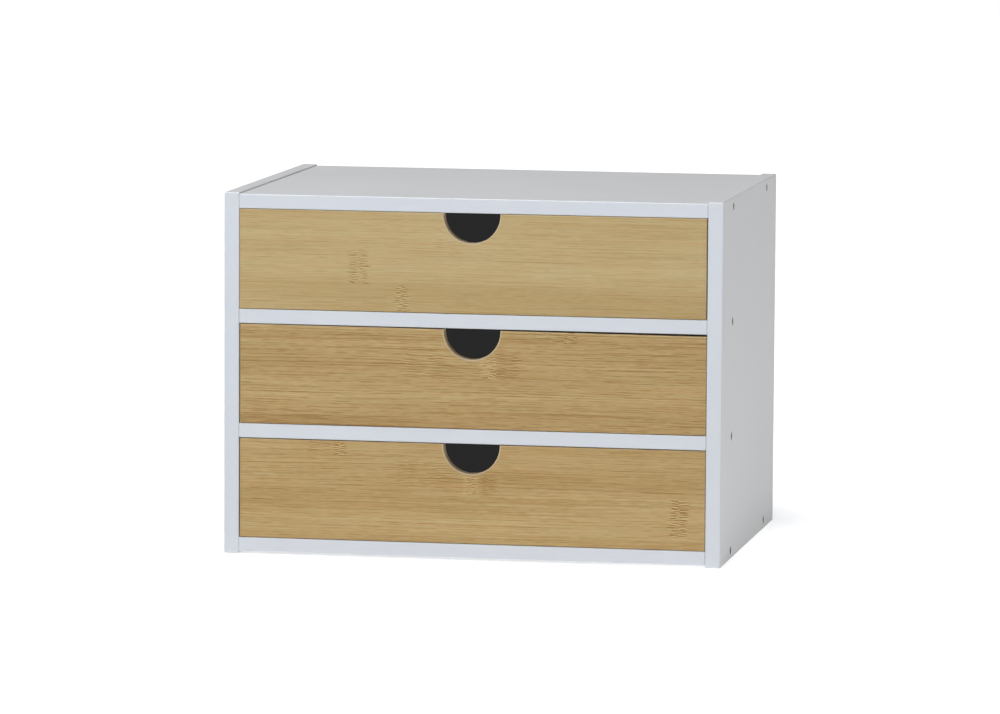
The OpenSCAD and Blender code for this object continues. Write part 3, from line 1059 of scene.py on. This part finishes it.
class MINIDRAWERS_OT_pegs(bpy.types.Operator):
    """Make the fluted dowels of the shelves and the fluted pins of the drawers"""
    bl_idname = "mini_drawers.pegs"
    bl_label = "Make the Dowels and Pins"

    def execute(self, context):
        settings = context.scene.mini_drawers.pegs
        group = peg_tree()
        shared = {"Flutes": settings.flutes, "Flute Depth": settings.flute_depth}
        grow("fluted_shelf_dowels", "shelf_dowels", 0, group, {
            **shared, "Length": settings.dowel_length, "Diameter": settings.dowel_diameter,
            "Chamfer": settings.dowel_diameter / 8, "Seed": 3,
            "Finish": turned_beech(settings, "x"),
        }, "case")
        along_y = turned_beech(settings, "y")
        for seed, drawer in enumerate(DRAWERS):
            grow(f"{drawer}_drawer_fluted_pins", f"{drawer}_drawer_pins", 1, group, {
                **shared, "Length": settings.pin_length, "Diameter": settings.pin_diameter,
                "Chamfer": settings.pin_diameter / 8, "Seed": seed, "Finish": along_y,
            }, f"{drawer}_drawer")
        return {"FINISHED"}


class MINIDRAWERS_OT_brads(bpy.types.Operator):
    """Make the ringed brads at the backs of the drawers"""
    bl_idname = "mini_drawers.brads"
    bl_label = "Make the Brads"

    def execute(self, context):
        settings = context.scene.mini_drawers.screws
        group = brad_tree()
        finish = zinc(settings, "bright_zinc_plated_steel", settings.brad_colour)
        for seed, drawer in enumerate(DRAWERS):
            grow(f"{drawer}_drawer_ringed_brads", f"{drawer}_drawer_brads", 0, group, {
                "Length": settings.brad_length, "Head Diameter": settings.brad_head_diameter,
                "Head Thickness": settings.brad_head_thickness,
                "Shank Diameter": settings.brad_diameter, "Ring Depth": settings.ring_depth,
                "Rows": BRAD_ROWS, "Seed": seed, "Finish": finish,
            }, f"{drawer}_drawer")
        return {"FINISHED"}


# The floor's half width and height, a hair under the case, in metres
FLOOR_HALF, FLOOR_HEIGHT = 40.0, -0.0002

# Each soft light's width, height and place, and the point that they face, in metres
FRONT_SOFTBOX = (2.4, 1.6, (-0.3, -3.6, 1.1))
OVERHEAD_SOFTBOX = (1.8, 1.8, (-0.36, -0.7, 2.6))
LIT_POINT = (0.0, 0.0, 0.12)
OVERHEAD_COLOUR = (0.98, 0.99, 1.0)

# The camera's sensor in millimetres, and how far it sees in metres
SENSOR_WIDTH, CAMERA_REACH = 36.0, 200.0


class MINIDRAWERS_OT_studio(bpy.types.Operator):
    """Lay the pale floor, and set the soft lights and the camera"""
    bl_idname = "mini_drawers.studio"
    bl_label = "Set Up the Studio"

    def execute(self, context):
        scene, settings = context.scene, context.scene.mini_drawers.studio
        floor = square("studio_floor", FLOOR_HALF, FLOOR_HEIGHT)
        floor.data.materials.append(pale_floor(settings))

        scene.world = studio_sky(settings)
        softbox("front_softbox", settings.front_power, settings.front_colour, *FRONT_SOFTBOX)
        softbox("overhead_softbox", settings.overhead_power, OVERHEAD_COLOUR, *OVERHEAD_SOFTBOX)

        lens = bpy.data.cameras.new("photo_camera")
        lens.sensor_fit = "HORIZONTAL"
        lens.sensor_width = SENSOR_WIDTH
        lens.lens = settings.focal_length
        lens.clip_end = CAMERA_REACH
        camera = bpy.data.objects.new("photo_camera", lens)
        camera.location = settings.camera_place
        camera.rotation_euler = Euler(settings.camera_turn, "XYZ")
        scene.collection.objects.link(camera)
        scene.camera = camera
        scene.view_settings.view_transform = "Standard"
        return {"FINISHED"}


def square(name, half, height):
    """A level square about the case's middle."""
    mesh = bpy.data.meshes.new(name)
    corners = [(x * half, y * half, height) for x, y in ((-1, -1), (1, -1), (1, 1), (-1, 1))]
    mesh.from_pydata(corners, [], [(0, 1, 2, 3)])
    piece = bpy.data.objects.new(name, mesh)
    bpy.context.scene.collection.objects.link(piece)
    return piece


def softbox(name, power, colour, width, height, place):
    """A soft light turned to the middle of the case."""
    light = bpy.data.lights.new(name, "AREA")
    light.shape = "RECTANGLE"
    light.size, light.size_y = width, height
    light.energy = power
    light.color = colour
    lamp = bpy.data.objects.new(name, light)
    lamp.location = place
    aim = Vector(LIT_POINT) - lamp.location
    lamp.rotation_euler = aim.to_track_quat("-Z", "Y").to_euler()
    bpy.context.scene.collection.objects.link(lamp)


# Where the sky has its three strengths: sines of the angle above the floor
SKY_HEIGHTS = (0.06, 0.15, 0.40)


def studio_sky(settings):
    """Even light from all round, dimmer overhead."""
    world = bpy.data.worlds.new("even_studio_light")
    world.use_nodes = True
    world.node_tree.nodes.clear()
    maker = Maker(world.node_tree)
    direction = maker.node("ShaderNodeTexCoord", result="Generated")
    up = maker.node("ShaderNodeSeparateXYZ", inputs={0: direction}, result="Z")
    strengths = (settings.horizon, settings.surround, settings.zenith)
    strength = maker.ramp(up, [
        (height, (share,) * 3) for height, share in zip(SKY_HEIGHTS, strengths)
    ])
    maker.node("ShaderNodeOutputWorld", inputs={
        "Surface": maker.node("ShaderNodeBackground", inputs={"Color": strength}),
    })
    return world


# ---------------------------------------------------------------- panel and registration

STEPS = (
    MINIDRAWERS_OT_case, MINIDRAWERS_OT_fronts, MINIDRAWERS_OT_boxes,
    MINIDRAWERS_OT_screws, MINIDRAWERS_OT_pegs, MINIDRAWERS_OT_brads,
    MINIDRAWERS_OT_studio,
)


class MINIDRAWERS_PT_sidebar(bpy.types.Panel):
    """Sizes, colours and steps of the mini drawers"""
    bl_idname = "MINIDRAWERS_PT_sidebar"
    bl_label = "Mini Drawers"
    bl_space_type = "VIEW_3D"
    bl_region_type = "UI"
    bl_category = "Mini Drawers"

    def draw(self, context):
        settings = context.scene.mini_drawers
        for part in ("case", "bamboo", "boxes", "screws", "pegs", "studio"):
            group = getattr(settings, part)
            box = self.layout.box()
            box.label(text=part.capitalize())
            for name in group.__annotations__:
                box.prop(group, name)
        for step in STEPS:
            self.layout.operator(step.bl_idname)


CLASSES = (
    MiniDrawersCase, MiniDrawersBamboo, MiniDrawersBoxes, MiniDrawersScrews,
    MiniDrawersPegs, MiniDrawersStudio, MiniDrawersSettings, *STEPS, MINIDRAWERS_PT_sidebar,
)


def register():
    for kind in CLASSES:
        bpy.utils.register_class(kind)
    bpy.types.Scene.mini_drawers = bpy.props.PointerProperty(type=MiniDrawersSettings)


def unregister():
    del bpy.types.Scene.mini_drawers
    for kind in reversed(CLASSES):
        bpy.utils.unregister_class(kind)


def main():
    register()
    for step in STEPS:
        group, name = step.bl_idname.split(".")
        getattr(getattr(bpy.ops, group), name)()


if __name__ == "__main__":
    main()
